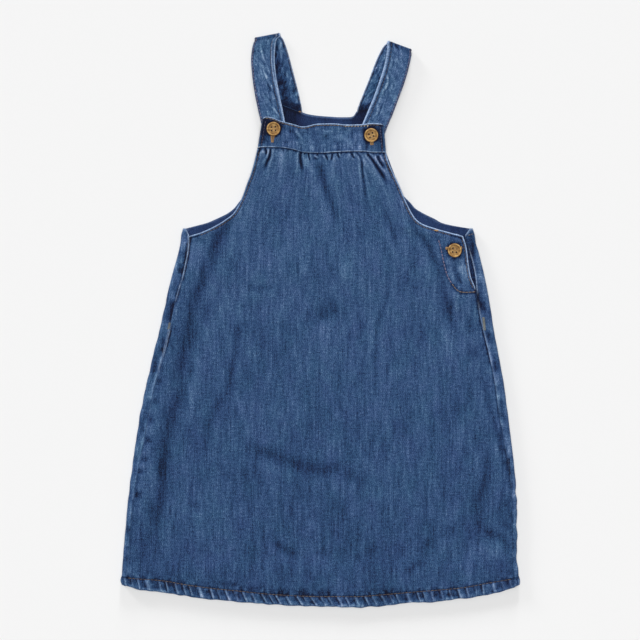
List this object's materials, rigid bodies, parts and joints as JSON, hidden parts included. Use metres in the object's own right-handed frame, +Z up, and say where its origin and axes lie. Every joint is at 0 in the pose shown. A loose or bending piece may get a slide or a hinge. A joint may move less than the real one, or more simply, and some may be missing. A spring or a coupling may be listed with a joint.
{
  "type": "child's denim pinafore dress, laid flat",
  "caption": "Child's sleeveless A-line denim pinafore laid flat, gathered into a bib band, with folded shoulder straps and a buttoned side opening.",
  "frame": {"origin": "on the surface that the dress lies on, under the middle of its outline", "axes": "+X to the right as one looks down on the front, +Y from the hem to the straps, +Z up from the surface through the back to the front"},
  "size_m": [0.3994, 0.5748, 0.0106],
  "materials": {
    "washed_denim": "stone-washed mid-blue denim twill with brown topstitching and worn pale edges",
    "navy_twill": "dark navy unwashed twill",
    "tan_button": "turned tan wood with a soft satin lacquer"
  },
  "bodies": {
    "root": {"back_panel": "washed_denim", "front_panel": "washed_denim", "front_band": "washed_denim", "strap_left": "washed_denim", "strap_right": "washed_denim", "side_underlap": "washed_denim", "back_facing": "navy_twill", "button_left": "tan_button", "button_right": "tan_button", "button_side": "tan_button"}
  },
  "joints": []
}
